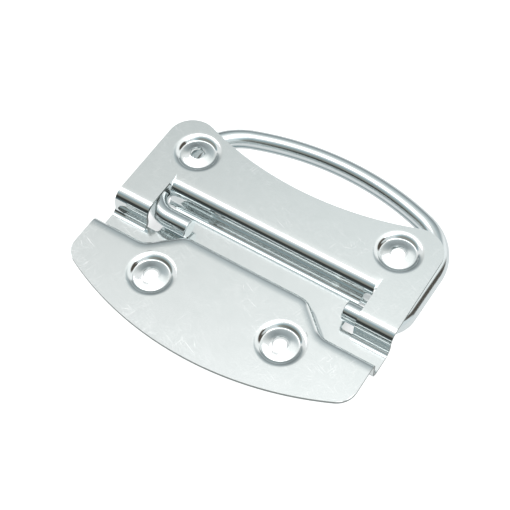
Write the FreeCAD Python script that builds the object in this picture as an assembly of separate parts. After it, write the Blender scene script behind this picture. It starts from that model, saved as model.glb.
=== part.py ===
import FreeCAD, Part
import math
import os
from FreeCAD import Vector as V

os.makedirs("parts", exist_ok=True)

# Folding carrying handle: a pressed sheet plate and a bent rod bail held behind its ridge.
# X runs along the hinge, +Y towards the bail's arch, +Z towards the wall. The plate's wall side is z = 0.
# The origin lies midway between the upper screw holes. The functions work about the hinge axis at y = 0.
# All sizes are in millimetres.

# Sheet
sheet = 1.0             # thickness of the sheet
half_width = 50.0       # plate half width
upper_mid_y = 28.7      # middle of the concave upper edge
upper_edge_r = 110.0    # radius of the concave upper edge
upper_corner_r = 8.5    # rounded upper corners
lower_mid_y = -41.5     # middle of the convex lower edge
lower_edge_r = 106.0    # radius of the convex lower edge
lower_corner_r = 4.0    # rounded lower corners

# Rod
rod_d = 6.5             # rod diameter
leg_x = 44.4            # leg axis from the bail's middle
arch_y = 50.2           # arch axis from the hinge axis
arch_r = 89.0           # radius of the arch
shoulder_r = 19.0       # bend between leg and arch
stub_bend_r = 8.5       # bend between leg and stub
stub_tip_x = 28.2       # stub end from the bail's middle
stub_chamfer = 0.4      # broken edge of the stub ends
side_slip = 4.2         # the bail has slid this far along its hinge
rest_tilt = 5.0         # degrees: the folded bail leans on the screw bosses

# Hinge
pin_gap = 0.08          # stub to curled tab, radial
side_gap = 0.08         # leg to the end of the ridge wall, when slid over
stub_lift = 0.4         # stub to the floor of the ridge

# Ridge: a channel pressed into the sheet, open to the wall side
mid_wall_y = 7.9        # upper wall between the tabs
mid_step_y = -4.4       # lower wall between the tabs
tab_step_y = -13.4      # lower wall behind the tabs
swing_r = 6.0           # radius of the S bends of the lower wall, on the sheet's middle
swing_angle = 42.0      # degrees, slope of the lower wall between its S bends
swing_start_x = 19.5    # where the lower wall leaves its middle run
mid_bend_r = 4.0        # upper bend between the tabs, wall side
step_bend_r = 2.5       # lower bend, wall side
foot_r = 2.0            # fold at the ridge's floor, wall side
tab_inner_x = 37.7      # inner edge of each tab
slot_end_y = 9.2        # end of the slot between tab and ridge wall
slot_depth_x = 3.0      # how far the floor is cut back past the ridge wall's end
slot_corner_r = 1.0     # rounded corners of that cut

# Screw bosses
hole_d = 5.0
upper_hole_x = 37.0
upper_hole_y = 24.4
lower_hole_x = 23.0
lower_hole_y = -22.5
boss_r = 7.3            # where the sheet turns down into the boss
boss_foot_r = 6.0       # lowest ring of the boss
boss_depth = 1.25       # depth of that ring
hole_drop = 0.32        # hole edge behind the wall plane
boss_shoulder_r = 2.5   # the plate turns down on this radius, wall side
boss_bend_r = 1.2       # front corner of the lowest ring

# Derived sizes
rod_r = rod_d / 2
tab_bend_r = rod_r + pin_gap + sheet            # the tab's curl is concentric with the stub
hinge_z = -tab_bend_r
tab_wall_y = -tab_bend_r
floor_z = hinge_z - rod_r - stub_lift           # wall side of the ridge's floor
ridge_z = floor_z - sheet                       # front of the ridge
wall_end_x = leg_x - rod_r - side_slip - side_gap
slot_inner_x = wall_end_x - slot_depth_x
far = half_width + 10.0                         # long enough to pass every edge


def box(x0, x1, y0, y1, z0, z1):
    return Part.makeBox(x1 - x0, y1 - y0, z1 - z0, V(x0, y0, z0))


def long_edges(shape, z, y_low=-far, y_high=far):
    """Edges at height z that run along the channel, between two Y limits."""
    found = []
    for e in shape.Edges:
        b = e.BoundBox
        flat = abs(b.ZMin - z) < 1e-4 and abs(b.ZMax - z) < 1e-4
        at_end = b.XLength < 1e-4 and abs(abs(b.XMin) - far) < 1e-4
        if flat and not at_end and b.YMin > y_low and b.YMax < y_high:
            found.append(e)
    return found


def swing_step(shift):
    """Lower wall of the ridge in plan, from -far to +far, moved by shift towards -Y."""
    a = math.radians(swing_angle)
    s, c = math.sin(a), math.cos(a)
    r_in = swing_r + sheet / 2 - shift           # bend next to the middle run
    r_out = swing_r - sheet / 2 + shift          # bend next to the tab run
    y_in, y_out = mid_step_y - shift, tab_step_y - shift
    drop = (mid_step_y - tab_step_y) - 2 * swing_r * (1 - c)
    swing_end_x = swing_start_x + 2 * swing_r * s + drop * c / s
    p0 = V(swing_start_x, y_in, 0)
    p1 = V(swing_start_x + r_in * s, y_in - r_in * (1 - c), 0)
    p2 = V(swing_end_x - r_out * s, y_out + r_out * (1 - c), 0)
    p3 = V(swing_end_x, y_out, 0)
    m0 = V(swing_start_x + r_in * math.sin(a / 2), y_in - r_in * (1 - math.cos(a / 2)), 0)
    m1 = V(swing_end_x - r_out * math.sin(a / 2), y_out + r_out * (1 - math.cos(a / 2)), 0)
    right = [
        Part.makeLine(V(0, y_in, 0), p0),
        Part.Arc(p0, m0, p1).toShape(),
        Part.makeLine(p1, p2),
        Part.Arc(p2, m1, p3).toShape(),
        Part.makeLine(p3, V(far, y_out, 0)),
    ]
    left = [e.mirror(V(0, 0, 0), V(1, 0, 0)) for e in right]
    return left + right


def straight_step(shift):
    """Lower wall of the ridge behind a tab, in plan."""
    return [Part.makeLine(V(-far, tab_step_y - shift, 0), V(far, tab_step_y - shift, 0))]


def channel(step, y_top, y_end, z_low, z_high):
    """Prism between a lower wall in plan and a straight upper wall."""
    sides = [
        Part.makeLine(V(far, y_end, 0), V(far, y_top, 0)),
        Part.makeLine(V(far, y_top, 0), V(-far, y_top, 0)),
        Part.makeLine(V(-far, y_top, 0), V(-far, y_end, 0)),
    ]
    wire = Part.Wire(Part.__sortEdges__(step + sides))
    face = Part.Face(wire)
    face.translate(V(0, 0, z_low))
    return face.extrude(V(0, 0, z_high - z_low))


def formed_sheet(step, wall_y, wall_bend_r):
    """Flat sheet with the ridge pressed into it: outside of the metal first, then the hollow."""
    outer = channel(step(sheet), wall_y + sheet, tab_step_y - sheet, ridge_z, -sheet / 2)
    body = box(-far, far, -far, far, -sheet, 0).fuse(outer).removeSplitter()
    split_y = wall_y - 1.0
    body = body.makeFillet(foot_r + sheet, long_edges(body, ridge_z))
    body = body.makeFillet(step_bend_r - sheet, long_edges(body, -sheet, y_high=split_y))
    body = body.makeFillet(wall_bend_r - sheet, long_edges(body, -sheet, split_y, wall_y + 2 * sheet))
    hollow = channel(step(0), wall_y, tab_step_y, floor_z, sheet)
    hollow = hollow.makeFillet(foot_r, long_edges(hollow, floor_z))
    body = body.cut(hollow)
    body = body.makeFillet(step_bend_r, long_edges(body, 0, y_high=split_y))
    return body.makeFillet(wall_bend_r, long_edges(body, 0, split_y, wall_y + sheet / 2))


def plate_outline():
    """Upright prism with the plate's outline: concave top, straight sides, convex bottom."""
    def edge_arc(mid_y, radius):
        y = mid_y + radius - math.sqrt(radius ** 2 - half_width ** 2)
        return Part.Arc(V(-half_width, y, 0), V(0, mid_y, 0), V(half_width, y, 0)).toShape(), y
    top, y_top = edge_arc(upper_mid_y, upper_edge_r)
    bottom, y_bottom = edge_arc(lower_mid_y, lower_edge_r)
    right = Part.makeLine(V(half_width, y_bottom, 0), V(half_width, y_top, 0))
    left = Part.makeLine(V(-half_width, y_top, 0), V(-half_width, y_bottom, 0))
    face = Part.Face(Part.Wire(Part.__sortEdges__([bottom, right, top, left])))
    face.translate(V(0, 0, ridge_z - 5))
    prism = face.extrude(V(0, 0, 10 - ridge_z))

    def corners(y):
        return [e for e in prism.Edges if e.BoundBox.ZLength > 5 and abs(e.BoundBox.YMax - y) < 1e-3]
    prism = prism.makeFillet(upper_corner_r, corners(y_top))
    return prism.makeFillet(lower_corner_r, corners(y_bottom))


def hinge_slot(side):
    """Opening at a tab's inner edge that lets the leg and its bend through."""
    x0, x1 = sorted((side * wall_end_x, side * tab_inner_x))
    slot = box(x0, x1, tab_wall_y, slot_end_y, ridge_z - 1, 1)
    slot = slot.makeFillet(slot_corner_r / 4, [e for e in slot.Edges if e.BoundBox.ZLength > 5
                                               and e.BoundBox.YMin > slot_end_y - 0.1])
    x0, x1 = sorted((side * slot_inner_x, side * tab_inner_x))
    relief_top = floor_z + foot_r
    relief = box(x0, x1, tab_wall_y, mid_wall_y - 1.1, ridge_z - 1, relief_top)
    relief = relief.makeFillet(slot_corner_r, [e for e in relief.Edges if e.BoundBox.ZLength > 2
                                               and abs(e.BoundBox.XMin - side * slot_inner_x) < 0.1])
    return slot.fuse(relief)


def screw_boss():
    """Raised boss with a dished screw seat, turned about Z. Its rim is flat sheet."""
    rim_r = boss_r + 2.0
    back = [(rim_r, 0.0), (boss_r, 0.0), (boss_foot_r, -boss_depth), (hole_d / 2, -hole_drop)]

    def front_line(p, q):
        """The line p to q moved one sheet thickness to the front, as a point and a direction."""
        n = math.hypot(q[0] - p[0], q[1] - p[1])
        dx, dz = (q[0] - p[0]) / n, (q[1] - p[1]) / n
        return (p[0] - dz * sheet, p[1] + dx * sheet), (dx, dz)
    lines = [front_line(back[i], back[i + 1]) for i in range(3)]
    front = [(rim_r, -sheet)]
    for (a, u), (b, w) in zip(lines, lines[1:]):
        k = ((b[0] - a[0]) * w[1] - (b[1] - a[1]) * w[0]) / (u[0] * w[1] - u[1] * w[0])
        front.append((a[0] + u[0] * k, a[1] + u[1] * k))
    a, u = lines[-1]
    k = (hole_d / 2 - a[0]) / u[0]
    front.append((hole_d / 2, a[1] + u[1] * k))
    points = [V(r, 0, z) for r, z in back + front[::-1]]
    face = Part.Face(Part.makePolygon(points + points[:1]))
    boss = face.revolve(V(0, 0, 0), V(0, 0, 1), 360)

    def ring(shape, r, z):
        return [e for e in shape.Edges if isinstance(e.Curve, Part.Circle)
                and abs(e.Curve.Radius - r) < 1e-3 and abs(e.BoundBox.ZMin - z) < 1e-3]
    boss = boss.makeFillet(boss_shoulder_r, ring(boss, *back[1]))
    boss = boss.makeFillet(boss_bend_r, ring(boss, *front[2]))
    boss = boss.makeFillet(boss_shoulder_r - sheet, ring(boss, *front[1]))
    boss = boss.makeFillet(0.3, ring(boss, *back[2]))
    return boss, rim_r


def make_plate():
    middle = formed_sheet(swing_step, mid_wall_y, mid_bend_r)
    tabs = formed_sheet(straight_step, tab_wall_y, tab_bend_r)
    z0, z1 = ridge_z - 2, 2
    middle = middle.common(box(-tab_inner_x, tab_inner_x, -far, far, z0, z1))
    right = tabs.common(box(tab_inner_x, far, -far, far, z0, z1))
    left = tabs.common(box(-far, -tab_inner_x, -far, far, z0, z1))
    plate = middle.fuse([left, right]).removeSplitter()
    plate = plate.cut([hinge_slot(-1), hinge_slot(1)])
    plate = plate.common(plate_outline())
    boss, rim_r = screw_boss()
    for x, y in ((upper_hole_x, upper_hole_y), (lower_hole_x, lower_hole_y)):
        for side in (-1, 1):
            place = V(side * x, y, 0)
            hole = Part.makeCylinder(rim_r, 4, place + V(0, 0, -2), V(0, 0, 1))
            one = boss.copy()
            one.translate(place)
            plate = plate.cut(hole).fuse(one)
    return plate.removeSplitter()


def make_bail():
    """Round rod: stub, bend, leg, shoulder, arch and back, in one plane through the hinge axis."""
    arch_centre_y = arch_y - arch_r
    knee_x = leg_x - shoulder_r
    knee_y = arch_centre_y + math.sqrt((arch_r - shoulder_r) ** 2 - knee_x ** 2)
    tilt = math.atan2(knee_y - arch_centre_y, knee_x)
    join = V(arch_r * math.cos(tilt), arch_centre_y + arch_r * math.sin(tilt), 0)
    knee_mid = V(knee_x + shoulder_r * math.cos(tilt / 2), knee_y + shoulder_r * math.sin(tilt / 2), 0)
    bend_x, h = leg_x - stub_bend_r, math.sqrt(0.5)
    bend_mid = V(bend_x + stub_bend_r * h, stub_bend_r * (1 - h), 0)
    half = [
        Part.makeLine(V(stub_tip_x, 0, 0), V(bend_x, 0, 0)),
        Part.Arc(V(bend_x, 0, 0), bend_mid, V(leg_x, stub_bend_r, 0)).toShape(),
        Part.makeLine(V(leg_x, stub_bend_r, 0), V(leg_x, knee_y, 0)),
        Part.Arc(V(leg_x, knee_y, 0), knee_mid, join).toShape(),
    ]
    crown = Part.Arc(join, V(0, arch_y, 0), V(-join.x, join.y, 0)).toShape()
    other = [e.mirror(V(0, 0, 0), V(1, 0, 0)) for e in half]
    path = Part.Wire(Part.__sortEdges__(half + [crown] + other))
    profile = Part.Wire(Part.makeCircle(rod_r, V(stub_tip_x, 0, 0), V(1, 0, 0)))
    bail = path.makePipeShell([profile], True, False)
    ends = [e for e in bail.Edges if isinstance(e.Curve, Part.Circle)
            and abs(abs(e.Curve.Center.x) - stub_tip_x) < 1e-3 and abs(e.Curve.Radius - rod_r) < 1e-3]
    bail = bail.makeChamfer(stub_chamfer, ends)
    bail.rotate(V(0, 0, 0), V(1, 0, 0), -rest_tilt)
    bail.translate(V(side_slip, 0, hinge_z))
    return bail


for name, shape in (("base_plate", make_plate()), ("bail", make_bail())):
    shape.translate(V(0, -upper_hole_y, 0))
    b = shape.BoundBox
    print(name, "solids", len(shape.Solids), "valid", shape.isValid(), "volume", round(shape.Volume, 1),
          "box", [round(v, 2) for v in (b.XMin, b.XMax, b.YMin, b.YMax, b.ZMin, b.ZMax)])
    shape.exportStep("parts/" + name + ".step")
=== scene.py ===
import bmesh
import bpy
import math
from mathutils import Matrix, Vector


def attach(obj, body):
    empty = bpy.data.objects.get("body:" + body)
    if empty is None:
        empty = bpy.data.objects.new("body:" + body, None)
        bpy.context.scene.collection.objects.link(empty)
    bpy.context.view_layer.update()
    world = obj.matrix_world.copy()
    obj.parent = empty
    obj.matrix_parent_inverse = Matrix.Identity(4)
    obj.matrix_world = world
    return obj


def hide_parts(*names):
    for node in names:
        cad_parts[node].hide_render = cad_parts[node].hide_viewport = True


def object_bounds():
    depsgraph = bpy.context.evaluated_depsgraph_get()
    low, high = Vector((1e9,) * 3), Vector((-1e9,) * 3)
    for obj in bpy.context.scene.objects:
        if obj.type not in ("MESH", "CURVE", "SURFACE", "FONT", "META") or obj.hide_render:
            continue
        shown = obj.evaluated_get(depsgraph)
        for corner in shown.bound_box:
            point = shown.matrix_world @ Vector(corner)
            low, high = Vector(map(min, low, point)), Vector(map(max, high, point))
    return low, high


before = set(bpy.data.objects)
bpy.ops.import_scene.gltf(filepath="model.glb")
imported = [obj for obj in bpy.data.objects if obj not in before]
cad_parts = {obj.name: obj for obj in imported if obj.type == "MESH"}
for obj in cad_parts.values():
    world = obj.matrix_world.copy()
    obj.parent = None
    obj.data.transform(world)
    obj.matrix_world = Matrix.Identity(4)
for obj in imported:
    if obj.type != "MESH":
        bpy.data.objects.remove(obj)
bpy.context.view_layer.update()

# %% [markdown]
# The object is a folding carrying handle from the side of a hive box. It has two pieces: a plate pressed
# from one sheet, and a bail bent from one round rod. It lies on its front, so we see the side that goes
# to the wall. Sizes are written in millimetres and turned to metres by MM. The shapes are worked out
# about the hinge axis, and each finished piece is then moved to its place inside its mesh.

MM = 0.001
HINGE_Y = -24.4           # the hinge axis, seen from midway between the upper screw holes
HINGE_Z = -4.33           # and from the wall
SIDEWAYS = (1, 0, 0)
UP = (0, 0, 1)

# %% [markdown]
# A procedural finish is a small tree of nodes. Noise could be painted as a picture instead, but a picture
# needs an unwrapped mesh and shows its pixels close up. The trees here are long, so four helpers write
# one node each.

# %% Helpers: nodes
def srgb(code):
    """A colour written as in a picture editor, turned into linear light."""
    parts = [int(code[i:i + 2], 16) / 255 for i in (0, 2, 4)]
    return tuple(c / 12.92 if c <= 0.04045 else ((c + 0.055) / 1.055) ** 2.4 for c in parts) + (1.0,)


def add(tree, kind, settings=(), links=()):
    """Adds one node, sets its values, and links other nodes' outputs to its inputs."""
    node = tree.nodes.new(kind)
    for name, value in dict(settings).items():
        if name in node.inputs:
            node.inputs[name].default_value = value
        else:
            setattr(node, name, value)
    for name, source in dict(links).items():
        tree.links.new(source, node.inputs[name])
    return node


def calc(tree, operation, *values):
    """One sum. Each value is a number or another node's output."""
    node = add(tree, "ShaderNodeMath", {"operation": operation})
    for i, value in enumerate(values):
        if isinstance(value, (int, float)):
            node.inputs[i].default_value = value
        else:
            tree.links.new(value, node.inputs[i])
    return node.outputs[0]


def remap(tree, value, low, high, to_low=0.0, to_high=1.0):
    """Turns low..high into to_low..to_high and holds both ends."""
    limits = {"From Min": low, "From Max": high, "To Min": to_low, "To Max": to_high}
    return add(tree, "ShaderNodeMapRange", limits, {"Value": value}).outputs[0]


def blend(tree, factor, first, second):
    """Mixes two colours. Each is a colour code or another node's output."""
    node = add(tree, "ShaderNodeMix", {"data_type": "RGBA"})
    tree.links.new(factor, node.inputs[0])
    for slot, colour in ((6, first), (7, second)):
        if isinstance(colour, str):
            node.inputs[slot].default_value = srgb(colour)
        else:
            tree.links.new(colour, node.inputs[slot])
    return node.outputs[2]


# %% [markdown]
# Handling leaves two kinds of marks on soft zinc. Scratches are hair-thin, a few centimetres long at
# most, and run in all directions, so noise is stretched long and thin in four directions and only its
# peaks are kept. Dents are small and rare, so they are the centres of a few cells of a cell pattern.

# %% Marks: scratches and dents
SCRATCHES = ((0.35, 1.0), (1.25, 1.3), (2.3, 0.8), (2.75, 1.6))     # direction in radians, size
SCRATCH_LONG, SCRATCH_WIDE, SCRATCH_DEEP = 1 / 230, 1 / 5500, 1 / 900
SCRATCH_CUT = 0.64


def scratches(tree, place):
    """Thin light lines in several directions: 1 on a scratch, 0 beside it."""
    marks = None
    for turn, size in SCRATCHES:
        line = add(tree, "ShaderNodeMapping",
                   {"vector_type": "TEXTURE", "Rotation": (0, 0, turn),
                    "Scale": (size * SCRATCH_LONG, size * SCRATCH_WIDE, SCRATCH_DEEP)}, {"Vector": place})
        streak = add(tree, "ShaderNodeTexNoise", {"Scale": 1.0, "Detail": 1.5, "Roughness": 0.4},
                     {"Vector": line.outputs[0]})
        sharp = remap(tree, streak.outputs["Fac"], SCRATCH_CUT, SCRATCH_CUT + 0.16)
        marks = sharp if marks is None else calc(tree, "MAXIMUM", marks, sharp)
    return marks


def dents(tree, place):
    """A few small round spots: 1 in a dent, 0 beside it."""
    cells = add(tree, "ShaderNodeTexVoronoi", {"Scale": 75}, {"Vector": place})
    centre = remap(tree, cells.outputs["Distance"], 0.05, 0.02)
    luck = add(tree, "ShaderNodeSeparateXYZ", {}, {0: cells.outputs["Color"]})
    return calc(tree, "MULTIPLY", centre, calc(tree, "GREATER_THAN", luck.outputs["X"], 0.55))


# %% [markdown]
# Both pieces are steel with bright zinc plating, so nearly all of what we see on them is reflection.
# Bright zinc is almost a mirror, a little blurred and a little blue. Chrome would be the easy choice, but
# it looks too clean: zinc is cloudy, its grain is fine, and the wide faces are rubbed duller than the
# tight bends.

# %% Finish: bright zinc plating
GRAIN_ROUGH = 0.06
MARK_ROUGH = 0.22
MARK_DEEP, DENT_DEEP = -0.5, -2.5
RELIEF_HEIGHT = 0.00004


def bright_zinc(name, colour, dull, roughness, sides, scratched):
    """Plating with two tones, one roughness on the faces and one on the sides, and more or fewer marks."""
    material = bpy.data.materials.new(name)
    material.use_nodes = True
    tree = material.node_tree
    metal = tree.nodes["Principled BSDF"]
    metal.inputs["Metallic"].default_value = 1.0
    place = add(tree, "ShaderNodeTexCoord").outputs["Object"]
    facing = add(tree, "ShaderNodeTexCoord").outputs["Normal"]

    slope = add(tree, "ShaderNodeSeparateXYZ", {}, {0: facing})
    open_face = remap(tree, calc(tree, "ABSOLUTE", slope.outputs["Z"]), 0.93, 0.99)
    patch = add(tree, "ShaderNodeTexNoise", {"Scale": 55, "Detail": 2}, {"Vector": place})
    worn = remap(tree, patch.outputs["Fac"], 0.3, 0.75, 0.0, scratched)
    worn = calc(tree, "MULTIPLY", worn, open_face)
    marks = calc(tree, "MULTIPLY", scratches(tree, place), worn)
    dent = calc(tree, "MULTIPLY", dents(tree, place), worn)

    cloud = add(tree, "ShaderNodeTexNoise", {"Scale": 160, "Detail": 5, "Roughness": 0.68},
                {"Vector": place})
    tone = blend(tree, marks, blend(tree, cloud.outputs["Fac"], colour, dull), "FFFFFF")
    tree.links.new(tone, metal.inputs["Base Color"])

    grain = add(tree, "ShaderNodeTexNoise", {"Scale": 1500, "Detail": 3}, {"Vector": place}).outputs["Fac"]
    rough = calc(tree, "MULTIPLY_ADD", grain, GRAIN_ROUGH, remap(tree, open_face, 0, 1, sides, roughness))
    rough = calc(tree, "MULTIPLY_ADD", marks, MARK_ROUGH, rough)
    tree.links.new(rough, metal.inputs["Roughness"])

    height = calc(tree, "MULTIPLY_ADD", marks, MARK_DEEP, grain)
    height = calc(tree, "MULTIPLY_ADD", dent, DENT_DEEP, height)
    height = calc(tree, "MULTIPLY", height, open_face)
    bump = add(tree, "ShaderNodeBump", {"Strength": 0.16, "Distance": RELIEF_HEIGHT}, {"Height": height})
    tree.links.new(bump.outputs[0], metal.inputs["Normal"])
    return material


def wear(obj, *materials):
    """Gives an object its materials. The second one is for cut edges."""
    obj.data.materials.clear()
    for material in materials:
        obj.data.materials.append(material)


zinc_sheet = bright_zinc("bright_zinc_sheet", "E5E9E9", "DBE0E0", 0.13, 0.06, 1.0)
zinc_rod = bright_zinc("bright_zinc_rod", "DFE5E6", "D5DCDD", 0.13, 0.12, 0.4)
# The cut edges are a rougher metal, and their colour is painted dark: painted shade along the sheet's
# edges.
rough_edge_painted_dark = bright_zinc("sheared_edge_painted_dark", "8E9492", "7C8280", 0.33, 0.33, 0.0)
print("finishes:", [m.name for m in (zinc_sheet, zinc_rod, rough_edge_painted_dark)])

# %% [markdown]
# Both pieces are modelled as by hand: pick some edges, then extrude, spin or bevel them. The picking is
# done by place, with a small test, because a corner's number changes whenever a step before it changes.

# %% Helpers: select by place
def activate(obj):
    """Leaves edit mode and makes one object the only selected and active one."""
    if bpy.context.mode != "OBJECT":
        bpy.ops.object.mode_set(mode="OBJECT")
    bpy.ops.object.select_all(action="DESELECT")
    if obj:
        obj.select_set(True)
        bpy.context.view_layer.objects.active = obj


def start_edit(obj=None):
    """Opens one object in edit mode with nothing selected. Without an object it only leaves edit mode."""
    activate(obj)
    if obj:
        bpy.ops.object.mode_set(mode="EDIT")
        bpy.ops.mesh.select_all(action="DESELECT")


def near(a, b, slack=0.01):
    return abs(a - b) < slack


def pick(test, kind="EDGE", rim=False):
    """Selects the vertices, edges or faces all of whose corners, in millimetres, pass the test."""
    bpy.ops.mesh.select_mode(type=kind)
    bpy.ops.mesh.select_all(action="DESELECT")
    mesh = bmesh.from_edit_mesh(bpy.context.object.data)
    items = {"VERT": mesh.verts, "EDGE": mesh.edges, "FACE": mesh.faces}[kind]
    for item in items:
        corners = [item] if kind == "VERT" else item.verts
        wanted = not rim or len(item.link_faces) < 2
        if wanted and all(test(*(c.co / MM)) for c in corners):
            item.select_set(True)
    mesh.select_flush_mode()
    bmesh.update_edit_mesh(bpy.context.object.data)

# %% [markdown]
# Sheet and rod are shaped by pulling them straight and bending them round a former. Extrude is the
# straight pull and spin is the bend. A piece stays at the frame's origin and its corners are moved
# instead, so that its place can't be lost when it is tied to a body.

# %% Helpers: pull, bend and place
def extrude(x, y, z):
    """Pulls the selection out by a distance in millimetres."""
    bpy.ops.mesh.extrude_region_move(TRANSFORM_OT_translate={"value": (x * MM, y * MM, z * MM)})


def spin(degrees, centre, axis, steps):
    """Bends the selection round an axis. Positive degrees turn anticlockwise about it, as in a drawing."""
    place = tuple(c * MM for c in centre)
    bpy.ops.mesh.spin(steps=steps, angle=-math.radians(degrees), center=place, axis=axis)


def settle(obj, shift=(0, 0, 0)):
    """Puts the object's place into its mesh, then moves the mesh by a distance in millimetres."""
    activate(obj)
    bpy.ops.object.transform_apply(location=True, rotation=True, scale=True)
    start_edit(obj)
    bpy.ops.mesh.select_all(action="SELECT")
    bpy.ops.transform.translate(value=tuple(s * MM for s in shift))
    start_edit()


def report(obj):
    low = Vector([min(v.co[i] for v in obj.data.vertices) for i in range(3)]) / MM
    high = Vector([max(v.co[i] for v in obj.data.vertices) for i in range(3)]) / MM
    print(obj.name, "faces", len(obj.data.polygons), "from", [round(c, 2) for c in low],
          "to", [round(c, 2) for c in high])

# %% [markdown]
# The bail is a round rod that was bent cold: stub, bend, leg, shoulder, arch and the same back again. It
# could be a curve with a round bevel, but modelling it as the bender works is clearer: one ring of 40
# corners is extruded along each straight run and spun round each bend, so the rings lie square to the rod
# everywhere.

# %% Bail: a ring is pushed and bent into shape
ROD_R = 3.25
LEG_X = 44.4              # leg axis from the middle
TIP_X = 28.2              # stub end from the middle
STUB_BEND = 8.5           # bend radii on the rod's axis
SHOULDER = 19.0
ARCH = 89.0
ARCH_Y = 50.2             # top of the arch

arch_centre = ARCH_Y - ARCH
knee_x = LEG_X - SHOULDER
knee_y = arch_centre + math.sqrt((ARCH - SHOULDER) ** 2 - knee_x ** 2)
shoulder_turn = math.degrees(math.atan2(knee_y - arch_centre, knee_x))
stub_length = LEG_X - STUB_BEND - TIP_X
leg_length = knee_y - STUB_BEND

start_edit()
bpy.ops.mesh.primitive_circle_add(vertices=40, radius=ROD_R * MM, location=(TIP_X * MM, 0, 0),
                                  rotation=(0, math.pi / 2, 0))
bail = bpy.context.object
bail.name = "bail_rod"
settle(bail)
wear(bail, zinc_rod)
start_edit(bail)
bpy.ops.mesh.select_all(action="SELECT")
extrude(stub_length, 0, 0)
spin(90, (LEG_X - STUB_BEND, STUB_BEND, 0), UP, 24)
extrude(0, leg_length, 0)
spin(shoulder_turn, (knee_x, knee_y, 0), UP, 28)
spin(180 - 2 * shoulder_turn, (0, arch_centre, 0), UP, 40)
spin(shoulder_turn, (-knee_x, knee_y, 0), UP, 28)
extrude(0, -leg_length, 0)
spin(90, (STUB_BEND - LEG_X, STUB_BEND, 0), UP, 24)
extrude(stub_length, 0, 0)
print("stubs", round(stub_length, 2), "legs", round(leg_length, 2), "shoulders", round(shoulder_turn, 1))

# %% [markdown]
# The rod was sheared to length and the burr was knocked off, so its ends are flat with a small round
# edge. Each end ring is filled with one face, and its edge is bevelled. The folded bail leans on the
# plate's bosses, so the rod is tilted a little, and it is slid along its hinge as far as it lies in the
# photograph.

# %% Bail: ends, tilt and place
END_EDGE = 0.45
SIDE_SLIP = 4.2
REST_TILT = 5.0           # degrees

for end in (1, -1):
    pick(lambda x, y, z: near(x, end * TIP_X) and y < ROD_R + 0.1)
    bpy.ops.mesh.edge_face_add()
    bpy.ops.mesh.bevel(offset=END_EDGE * MM, segments=3, affect="EDGES")
bpy.ops.mesh.select_all(action="SELECT")
bpy.ops.mesh.normals_make_consistent(inside=False)
bpy.ops.transform.rotate(value=math.radians(REST_TILT), orient_axis="X", center_override=(0, 0, 0))
settle(bail, (SIDE_SLIP, HINGE_Y, HINGE_Z))
report(bail)

# %% [markdown]
# The plate is one sheet with a ridge pressed into it. It could be a block with a hollow, but a sheet has
# one thickness everywhere, so only its wall side is drawn, as a thin skin, and it gets its thickness at
# the end. Half of it is drawn and mirrored. It starts as a narrow strip of the flat lower part, and the
# strip's edge is spun and extruded into the section of the ridge's lower wall. The first bend is soft: it
# starts on a wide radius, as sheet does that is pressed without a sharp tool.

# %% Plate: section of the ridge's lower wall
SIDE = 50.0               # plate half width
MID_STEP = -4.4           # ridge's lower wall between the tabs, from the hinge axis
FLOOR_Z = -7.98           # ridge's floor
STEP_BEND = 2.5           # bend radius on the wall side
STEP_EASE, EASE_R = 10, 12.0
FOOT = 2.0                # bend radius at the floor
FOOT_Z = FLOOR_Z + FOOT
STRIP = 0.3               # width of the starting strip
SWING_START = 19.5        # the straight middle of the wall ends here

ease = math.radians(STEP_EASE)
bend_y = MID_STEP - STEP_BEND * (1 - math.sin(ease)) - EASE_R * math.sin(ease)
step_z = -EASE_R * (1 - math.cos(ease)) - STEP_BEND * math.cos(ease)

start_edit()
bpy.ops.mesh.primitive_plane_add(size=MM, location=(SWING_START / 2 * MM, (bend_y - STRIP / 2) * MM, 0))
plate = bpy.context.object
plate.name = "pressed_plate"
plate.scale = (SWING_START, STRIP, 1)
settle(plate)
wear(plate, zinc_sheet, rough_edge_painted_dark)
start_edit(plate)
pick(lambda x, y, z: near(y, bend_y))
spin(-STEP_EASE, (0, bend_y, -EASE_R), SIDEWAYS, 5)
spin(STEP_EASE - 90, (0, MID_STEP - STEP_BEND, step_z), SIDEWAYS, 8)
extrude(0, 0, FOOT_Z - step_z)
spin(90, (0, MID_STEP + FOOT, FOOT_Z), SIDEWAYS, 7)
print("the flat ends at", round(bend_y, 2), "and the wall stands at", MID_STEP)

# %% [markdown]
# The lower wall isn't straight: beside the tabs it swings outwards in two S bends, to leave room for the
# rod. The section could be lofted along a curve, but spinning and extruding its edge keeps the same sheet
# section all the way, with no pinched faces.

# %% Plate: the section follows the S bends
SWING = 42                # degrees
SWING_IN = 6.5            # radii of the S bends on the wall side
SWING_OUT = 5.5
TAB_STEP = -13.4          # the lower wall behind the tabs
WALL_END = 36.87          # the ridge's upper wall ends here, and the slot begins
TAB_INNER = 37.7          # and the tab begins here

swing_s, swing_c = math.sin(math.radians(SWING)), math.cos(math.radians(SWING))
slope = (MID_STEP - TAB_STEP - (SWING_IN + SWING_OUT) * (1 - swing_c)) / swing_s
swing_end = SWING_START + (SWING_IN + SWING_OUT) * swing_s + slope * swing_c
pick(lambda x, y, z: near(x, SWING_START))
spin(-SWING, (SWING_START, MID_STEP - SWING_IN, 0), UP, 10)
extrude(slope * swing_c, -slope * swing_s, 0)
spin(SWING, (swing_end, TAB_STEP + SWING_OUT, 0), UP, 10)
extrude(WALL_END - swing_end, 0, 0)
extrude(TAB_INNER - WALL_END, 0, 0)
extrude(SIDE - TAB_INNER, 0, 0)
print("slope", round(slope, 2), "S bends end at", round(swing_end, 2))

# %% [markdown]
# The floor of the ridge is pulled from the foot of that wall and squashed onto a straight line, the foot
# of the upper wall. That line is spun and extruded up again and over into the flat. The last few degrees
# turn on a much larger radius, which gives the pale glow beside the bend in the photograph.

# %% Plate: floor and upper wall between the tabs
MID_WALL = 7.9            # ridge's upper wall, from the hinge axis
MID_BEND = 4.0            # bend radius on the wall side


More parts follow.
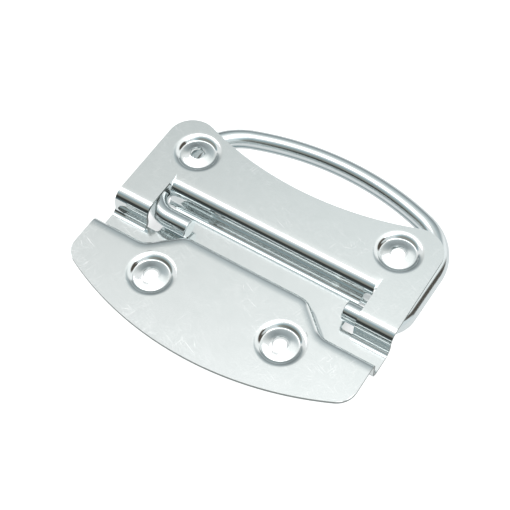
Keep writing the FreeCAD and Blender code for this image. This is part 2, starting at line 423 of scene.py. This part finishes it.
def flatten(axis, at):
    """Squashes the selection onto one plane, in millimetres."""
    keep = tuple(0 if i == "XYZ".index(axis) else 1 for i in range(3))
    middle = tuple(at * MM if i == "XYZ".index(axis) else 0 for i in range(3))
    bpy.ops.transform.resize(value=keep, center_override=middle)


def bend_up(wall_y, radius, turn, turn_radius, steps):
    """Takes a wall's top line up and over into the flat. Its last degrees turn on a larger radius."""
    angle = math.radians(turn)
    rise = radius * math.cos(angle) + turn_radius * (1 - math.cos(angle))
    flat_y = wall_y + radius * (1 - math.sin(angle)) + turn_radius * math.sin(angle)
    extrude(0, 0, -rise - FOOT_Z)
    spin(turn - 90, (0, wall_y + radius, -rise), SIDEWAYS, steps)
    spin(-turn, (0, flat_y, -turn_radius), SIDEWAYS, 4)
    return flat_y


pick(lambda x, y, z: near(z, FLOOR_Z) and x < WALL_END + 0.01)
extrude(0, 1, 0)
flatten("Y", MID_WALL - FOOT)
spin(90, (0, MID_WALL - FOOT, FOOT_Z), SIDEWAYS, 7)
mid_flat_y = bend_up(MID_WALL, MID_BEND, 2.2, 43, 12)
print("the upper flat starts at", round(mid_flat_y, 2))

# %% [markdown]
# Behind a tab the floor is narrower, because the tab's wall stands further in: it curls round the stub,
# so its bend has the same centre as the hinge. Beside the tab, in the width of the slot, the floor
# reaches on to the tab's wall. Two cuts in the middle floor give it corners there, so that the faces join
# without a gap.

# %% Plate: curled tab
TAB_BEND = 4.33
TAB_FOOT_Y = -TAB_BEND - FOOT

pick(lambda x, y, z: near(z, FLOOR_Z) and x > WALL_END - 0.01 and y < TAB_FOOT_Y)
extrude(0, 1, 0)
flatten("Y", TAB_FOOT_Y)
pick(lambda x, y, z: near(y, TAB_FOOT_Y) and x < TAB_INNER + 0.01)
extrude(0, FOOT, 0)
pick(lambda x, y, z: near(y, TAB_FOOT_Y) and x > TAB_INNER - 0.01)
spin(90, (0, TAB_FOOT_Y, FOOT_Z), SIDEWAYS, 7)
tab_flat_y = bend_up(-TAB_BEND, TAB_BEND, 1.8, 44, 14)
print("the tab's flat starts at", round(tab_flat_y, 2))

for cut_y in (TAB_FOOT_Y, -TAB_BEND):
    pick(lambda x, y, z: near(z, FLOOR_Z) and x < WALL_END + 0.01, "FACE")
    bpy.ops.mesh.bisect(plane_co=(0, cut_y * MM, 0), plane_no=(0, 1, 0))

# %% [markdown]
# The slot beside each tab ends a little up the ridge wall's bend, where the bend is already almost flat.
# It could be cut through the finished plate, but then its end would be ragged. One small face joins the
# bend to the flat of the plate instead.

# %% Plate: end of the slot
SLOT_END = 9.2
pick(lambda x, y, z: WALL_END - 3 < x < WALL_END + 0.01 and MID_WALL - 0.01 < y < mid_flat_y + 0.01, "FACE")
bpy.ops.mesh.bisect(plane_co=(0, SLOT_END * MM, 0), plane_no=(0, 1, 0))
pick(lambda x, y, z: near(x, TAB_INNER) and near(y, tab_flat_y) and near(z, 0), "VERT")
extrude(0, SLOT_END - tab_flat_y, 0)
extrude(0, mid_flat_y - SLOT_END, 0)
pick(lambda x, y, z: WALL_END - 0.01 < x < TAB_INNER + 0.01 and y > SLOT_END - 0.01, "VERT")
bpy.ops.mesh.edge_face_add()
print("the slot is", round(TAB_INNER - WALL_END, 2), "wide and ends at", SLOT_END)

# %% [markdown]
# The outline goes round the plate's flat parts as a line of corners: up the side, round the corner and
# along the concave top, and in the same way down to the convex bottom. The corner centres follow from the
# radii, so that each arc meets the next without a kink.

# %% Plate: outline of the flat parts
TOP_Y, TOP_R, TOP_CORNER = 28.7, 110.0, 8.5
BOTTOM_Y, BOTTOM_R, BOTTOM_CORNER = -41.5, 106.0, 7.0

top_centre = TOP_Y + TOP_R
corner_x = SIDE - TOP_CORNER
corner_y = top_centre - math.sqrt((TOP_R + TOP_CORNER) ** 2 - corner_x ** 2)
sweep = math.degrees(math.asin(corner_x / (TOP_R + TOP_CORNER)))
pick(lambda x, y, z: near(x, SIDE) and near(y, tab_flat_y) and near(z, 0), "VERT")
extrude(0, corner_y - tab_flat_y, 0)
spin(90 + sweep, (corner_x, corner_y, 0), UP, 20)
spin(-sweep, (0, top_centre, 0), UP, 24)
extrude(0, mid_flat_y - TOP_Y, 0)
print("top corner at", round(corner_x, 2), round(corner_y, 2))

bottom_centre = BOTTOM_Y + BOTTOM_R
corner_x = SIDE - BOTTOM_CORNER
corner_y = bottom_centre - math.sqrt((BOTTOM_R - BOTTOM_CORNER) ** 2 - corner_x ** 2)
sweep = math.degrees(math.asin(corner_x / (BOTTOM_R - BOTTOM_CORNER)))
strip_y = TAB_STEP - MID_STEP + bend_y - STRIP
pick(lambda x, y, z: near(x, SIDE) and near(y, strip_y), "VERT")
extrude(0, corner_y - strip_y, 0)
spin(sweep - 90, (corner_x, corner_y, 0), UP, 12)
spin(-sweep, (0, bottom_centre, 0), UP, 32)
extrude(0, bend_y - STRIP - BOTTOM_Y, 0)
print("bottom corner at", round(corner_x, 2), round(corner_y, 2))

# %% [markdown]
# A screw boss is a ring pushed towards the front, with a dished seat that rises again to the screw hole,
# so that the screw's head pulls the sheet against the wall. One ring of 64 corners is extruded and drawn
# in from the flat rim to the hole, and the two creases are bevelled round. It is made once and copied.

# %% Plate: one screw boss
RIM_R = 8.5
BOSS_R = 7.1              # the boss starts to sink here
SEAT_R = 5.8              # and is deepest here
SEAT = ((5.0, -1.12), (4.1, -0.87), (3.3, -0.62), (2.5, -0.32))


def ring_to(radius, z):
    """Extrudes the selected ring and draws it in to a radius and a height, both in millimetres."""
    extrude(0, 0, z - ring_to.z)
    scale = radius / ring_to.radius
    bpy.ops.transform.resize(value=(scale, scale, 1), center_override=(0, 0, 0))
    ring_to.radius, ring_to.z = radius, z


def on_ring(radius):
    return lambda x, y, z: near(math.hypot(x, y), radius)


start_edit()
bpy.ops.mesh.primitive_circle_add(vertices=64, radius=RIM_R * MM)
boss = bpy.context.object
boss.name = "screw_boss"
wear(boss, zinc_sheet, rough_edge_painted_dark)
start_edit(boss)
bpy.ops.mesh.select_all(action="SELECT")
ring_to.radius, ring_to.z = RIM_R, 0
for radius, z in ((BOSS_R, 0), (SEAT_R, -1.25)) + SEAT:
    ring_to(radius, z)
for radius, bevel, segments in ((BOSS_R, 1.0, 8), (SEAT_R, 0.3, 4)):
    pick(on_ring(radius))
    bpy.ops.mesh.bevel(offset=bevel * MM, segments=segments, affect="EDGES")
start_edit()
report(boss)

# %% [markdown]
# Each half of the plate has two bosses. Their rims and the outline bound the flat parts, and one fill
# between them makes the flat faces, so no flat face runs through a boss.

# %% Plate: bosses are placed and the flat parts are filled
SCREWS = ((37.0, 24.4), (23.0, -22.5))
for x, y in SCREWS:
    activate(boss)
    bpy.ops.object.duplicate()
    copy = bpy.context.object
    settle(copy, (x, y, 0))
    copy.select_set(True)
    plate.select_set(True)
    bpy.context.view_layer.objects.active = plate
    bpy.ops.object.join()
    start_edit()
bpy.data.objects.remove(boss)

start_edit(plate)
bpy.ops.mesh.select_all(action="SELECT")
bpy.ops.mesh.remove_doubles(threshold=0.002 * MM)
for low, high in ((-0.01, 60), (-60, bend_y - STRIP + 0.01)):
    pick(lambda x, y, z: near(z, 0) and low < y < high, rim=True)
    bpy.ops.mesh.fill(use_beauty=True)
report(plate)

# %% [markdown]
# The half is mirrored, and then the skin gets the sheet's thickness towards the front. Its faces have to
# look at the wall for that, so their direction is measured first. The rim that the thickness makes takes
# the second material: the duller, rougher metal of a cut edge, with its colour painted dark as painted
# shade.

# %% Plate: other half and thickness
SHEET = 1.0


def apply_modifier(obj, kind, **settings):
    """Adds one modifier with its settings and applies it."""
    activate(obj)
    modifier = obj.modifiers.new(kind.title(), kind)
    for name, value in settings.items():
        setattr(modifier, name, value)
    bpy.ops.object.modifier_apply(modifier=modifier.name)


start_edit()
apply_modifier(plate, "MIRROR", merge_threshold=0.002 * MM)
start_edit(plate)
bpy.ops.mesh.select_all(action="SELECT")
bpy.ops.mesh.normals_make_consistent(inside=False)
skin = bmesh.from_edit_mesh(plate.data)
lower_flat = [f.normal.z for f in skin.faces if f.calc_center_median().y < -30 * MM]
print("flat faces", len(lower_flat), "facing the wall", sum(z > 0 for z in lower_flat),
      "odd edges", sum(len(e.link_faces) not in (1, 2) for e in skin.edges))
if lower_flat[0] < 0:
    bpy.ops.mesh.flip_normals()
start_edit()
apply_modifier(plate, "SOLIDIFY", thickness=SHEET * MM, offset=-1, use_even_offset=True,
               material_offset_rim=1)
report(plate)

# %% [markdown]
# The corner of the ridge's floor beside each slot is cut away, so that the rod can swing through. A punch
# does it in the press, and a block with two rounded edges does it here.

# %% Plate: relief beside each slot
RELIEF_X = 33.5
RELIEF_END = MID_WALL - 1.1
RELIEF_CORNER = 1.0
relief_side = TAB_INNER - 0.5
PUNCH_HIGH = 6

for side in (1, -1):
    start_edit()
    bpy.ops.mesh.primitive_cube_add(size=MM, location=(side * (RELIEF_X + relief_side) / 2 * MM,
                                                       (RELIEF_END - TAB_BEND) / 2 * MM,
                                                       (FOOT_Z - PUNCH_HIGH / 2) * MM))
    punch = bpy.context.object
    punch.scale = (relief_side - RELIEF_X, RELIEF_END + TAB_BEND, PUNCH_HIGH)
    settle(punch)
    start_edit(punch)
    bpy.ops.mesh.select_mode(type="EDGE")
    block = bmesh.from_edit_mesh(punch.data)
    for edge in block.edges:
        one, other = (corner.co / MM for corner in edge.verts)
        if near(one.x, side * RELIEF_X) and near(other.x, side * RELIEF_X) and near(one.y, other.y):
            edge.select_set(True)
    bmesh.update_edit_mesh(punch.data)
    bpy.ops.mesh.bevel(offset=RELIEF_CORNER * MM, segments=6, affect="EDGES")
    start_edit()
    apply_modifier(plate, "BOOLEAN", operation="DIFFERENCE", solver="EXACT", object=punch)
    bpy.data.objects.remove(punch)
report(plate)

# %% [markdown]
# No cut edge is perfectly sharp. A bevel of a tenth of a millimetre catches the light along each of them.
# The walls of the screw holes are as bright as the faces in the photograph, so they get the sheet's finish
# instead of the painted dark.

# %% Plate: edges, screw holes and place
EDGE_BREAK = 0.12
HOLE_REACH = 2.56         # just past the hole's wall

apply_modifier(plate, "BEVEL", width=EDGE_BREAK * MM, segments=2, limit_method="ANGLE",
               angle_limit=math.radians(50), use_clamp_overlap=True, loop_slide=False)
start_edit(plate)
pick(lambda x, y, z: any(math.hypot(abs(x) - hole_x, y - hole_y) < HOLE_REACH for hole_x, hole_y in SCREWS),
     kind="FACE")
plate.active_material_index = 0
bpy.ops.object.material_slot_assign()
settle(plate, (0, HINGE_Y, 0))
report(plate)

# %% [markdown]
# Each piece is tied to the body that it moves with. The bends are shaded smooth, and the flat faces keep
# their own direction where a bevel meets them, because on a mirror the smallest bend in the shading
# shows.

# %% Finish: given to the pieces
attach(bail, "handle")
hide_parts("bail")
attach(plate, "plate")
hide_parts("base_plate")
for piece in (bail, plate):
    activate(piece)
    bpy.ops.object.shade_smooth_by_angle(angle=math.radians(30))
    apply_modifier(piece, "WEIGHTED_NORMAL", keep_sharp=True)
    print(piece.name, "has", len(piece.data.materials), "materials")

# %% [markdown]
# The handle lies above a plain pale table, far enough for the bail to swing open. The table shows white
# to the camera and less bright to mirrored rays. A real table is dim close to the thing above it, so two
# soft shades are drawn on it: one under the ridge, for the mirrored rays, and one in the place of the
# handle's shadow.

# %% Table
MIRRORED = 0.36           # strength of the table in reflections
SEEN = 0.8                # and to the camera, before any light falls on it

start_edit()
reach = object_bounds()[1][1] - HINGE_Y * MM
print("the open bail reaches", round(reach / MM, 1), "mm below the hinge")
bpy.ops.mesh.primitive_plane_add(size=6.0, location=(0, 0, HINGE_Z * MM - reach - 2 * MM))
table = bpy.context.object
table.name = "table"
paper = bpy.data.materials.new("white_table")
paper.use_nodes = True
tree = paper.node_tree
tree.nodes.clear()
spot = add(tree, "ShaderNodeTexCoord").outputs["Object"]
spot = add(tree, "ShaderNodeSeparateXYZ", {}, {0: spot}).outputs


def shade(middle, full, gone, least):
    """A soft-edged shade: its least value inside, 1 outside. The middle and half sizes are in X and Y."""
    sides = []
    for i in (0, 1):
        aside = calc(tree, "ABSOLUTE", calc(tree, "SUBTRACT", spot[i], middle[i] * MM))
        sides.append(remap(tree, aside, full[i] * MM, gone[i] * MM, least))
    return calc(tree, "MAXIMUM", *sides)


ray = add(tree, "ShaderNodeLightPath").outputs
camera_ray = ray["Is Camera Ray"]
under = shade((0, HINGE_Y), (43, 11), (49, 17), 0.24)
under = calc(tree, "MAXIMUM", under, camera_ray)
shadow = shade((-20, 2.5), (40, 5), (50, 16), 0.42)
shadow = calc(tree, "MAXIMUM", shadow, calc(tree, "SUBTRACT", 1.0, camera_ray))
clear = calc(tree, "MINIMUM", under, shadow)
clear = calc(tree, "MAXIMUM", clear, add(tree, "ShaderNodeNewGeometry").outputs["Backfacing"])

mirrored = calc(tree, "ADD", ray["Is Glossy Ray"], ray["Is Transmission Ray"])
strength = calc(tree, "MULTIPLY_ADD", camera_ray, SEEN, calc(tree, "MULTIPLY", mirrored, MIRRORED))
strength = calc(tree, "MULTIPLY", strength, clear)
# Inside the painted shades the table is painted blue-grey for mirrored rays and pale grey for the camera.
tone = blend(tree, clear, blend(tree, camera_ray, "BFDCE6", "E9ECED"), "FFFFFF")
matt = add(tree, "ShaderNodeBsdfDiffuse", {}, {"Color": blend(tree, under, "A9BFC6", "C8C8C8")})
glow = add(tree, "ShaderNodeEmission", {}, {"Color": tone, "Strength": strength})
both = add(tree, "ShaderNodeAddShader", {}, {0: matt.outputs[0], 1: glow.outputs[0]})
add(tree, "ShaderNodeOutputMaterial", {}, {"Surface": both.outputs[0]})
wear(table, paper)
print("table", round(table.location.z / MM, 1), "mm from the wall plane")

# %% [markdown]
# What a bright metal reflects matters more than how it is lit, so the room is drawn too. Seen along the
# hinge it is a row of tones, by the angle from straight up: white above, a dark near side with a pale
# edge, and a grey far side. A photograph of a room would do as well, but a row of tones can be matched
# bend by bend.

# %% Room: tones round the hinge axis
ROOM = ((-180, "C8C8C8"), (-111, "A6B5BB"), (-99, "93A4AA"), (-90, "7F9096"), (-82, "66777C"),
        (-76, "454A4A"), (-60, "383835"), (-55, "6E6F6A"), (-50, "9A9B95"), (-42, "A1A39D"),
        (-34, "9DB0B6"), (-27, "B6CAD1"), (-21, "DCE4E5"), (-16, "FFFFFF"), (20, "FFFFFF"),
        (24, "F5F6F5"), (29, "E5E7E6"), (34, "D1D5D4"), (38, "BFC4C5"), (44, "ACB3B5"),
        (52, "A0A8AA"), (62, "92999B"), (72, "82888A"), (79, "7C8284"), (85, "B8BDBE"),
        (95, "B4B9BA"), (110, "B4B8B9"), (180, "C8C8C8"))

world = bpy.data.worlds.new("room")
bpy.context.scene.world = world
world.use_nodes = True
tree = world.node_tree
tree.nodes.clear()
direction = add(tree, "ShaderNodeTexCoord").outputs["Generated"]
toward = add(tree, "ShaderNodeSeparateXYZ", {}, {0: direction}).outputs
angle = calc(tree, "ARCTAN2", toward["Y"], toward["Z"])
ramp = add(tree, "ShaderNodeValToRGB", {}, {"Fac": remap(tree, angle, -math.pi, math.pi)})
stops = ramp.color_ramp.elements
for at, room_tone in ROOM:
    stop = stops.new((at + 180) / 360)
    stop.color = srgb(room_tone)
stops.remove(stops[0])
stops.remove(stops[len(stops) - 1])
print("room tones:", len(stops))

# %% [markdown]
# The rod's legs and the bosses also mirror the room's two ends, so these get tones of their own: a bright
# window on the +X side and, further round, a wall with a dark door. The room is brighter towards that
# side. The camera itself sees plain white past the table's edge.

# %% Room: its two ends
BRIGHT_SIDE = (0.848, 0.530, 0)

behind = remap(tree, toward["Y"], 0.05, 0.2)
window = calc(tree, "MULTIPLY", remap(tree, toward["X"], 0.02, 0.2, 0.0, 0.85), behind)
door = calc(tree, "MULTIPLY", behind, remap(tree, toward["X"], 0.86, 0.8))
walls = blend(tree, remap(tree, toward["X"], 0.48, 0.6),
              blend(tree, window, ramp.outputs["Color"], "F2F3F2"),
              blend(tree, door, "CDD2D3", "4E4943"))
side_on = add(tree, "ShaderNodeVectorMath", {"operation": "DOT_PRODUCT"}, {0: direction})
side_on.inputs[1].default_value = BRIGHT_SIDE
level = remap(tree, side_on.outputs["Value"], -0.13, 0.1, 1.0, 1.4)
air = add(tree, "ShaderNodeBackground", {}, {"Color": walls, "Strength": level})
plain = add(tree, "ShaderNodeBackground", {"Color": (1, 1, 1, 1), "Strength": 1.0})
look = add(tree, "ShaderNodeLightPath").outputs["Is Camera Ray"]
shown = add(tree, "ShaderNodeMixShader", {}, {0: look, 1: air.outputs[0], 2: plain.outputs[0]})
add(tree, "ShaderNodeOutputWorld", {}, {"Surface": shown.outputs[0]})
print("room nodes:", len(tree.nodes))

# %% [markdown]
# One wide lamp high above gives the soft, even light of a small studio. A small lamp would put hard
# glints on the bends, which the photograph doesn't show.

# %% Lamp
start_edit()
bpy.ops.object.light_add(type="AREA", location=(0, 0.105, 1.5), rotation=(-math.radians(4), 0, 0))
lamp = bpy.context.object
lamp.name = "soft_lamp"
lamp.data.shape = "RECTANGLE"
lamp.data.size = 2.4
lamp.data.size_y = 0.64
lamp.data.energy = 8.0
print("lamp", lamp.data.size, "by", round(lamp.data.size_y, 2), "m")

# %% [markdown]
# The camera was fitted to the photograph by the screw holes and the corners of the plate. It is close and
# has a long lens, so the lines along the hinge run together only a little.

# %% Camera
AZIMUTH, ELEVATION, DISTANCE = math.radians(32.05), math.radians(55.66), 0.3872
TARGET = Vector((0.0002, -0.0244, 0))
LENS = 89.08

back = Vector((math.sin(AZIMUTH) * math.cos(ELEVATION), -math.cos(AZIMUTH) * math.cos(ELEVATION),
               math.sin(ELEVATION)))
camera_data = bpy.data.cameras.new("camera")
camera_data.lens = LENS
camera_data.sensor_width = 36
camera_data.clip_start = 0.01
camera = bpy.data.objects.new("camera", camera_data)
bpy.context.scene.collection.objects.link(camera)
camera.location = TARGET + back * DISTANCE
camera.rotation_euler = (-back).to_track_quat("-Z", "Y").to_euler()
bpy.context.scene.camera = camera
bpy.context.scene.view_settings.view_transform = "Standard"
print("camera at", [round(c, 3) for c in camera.location])
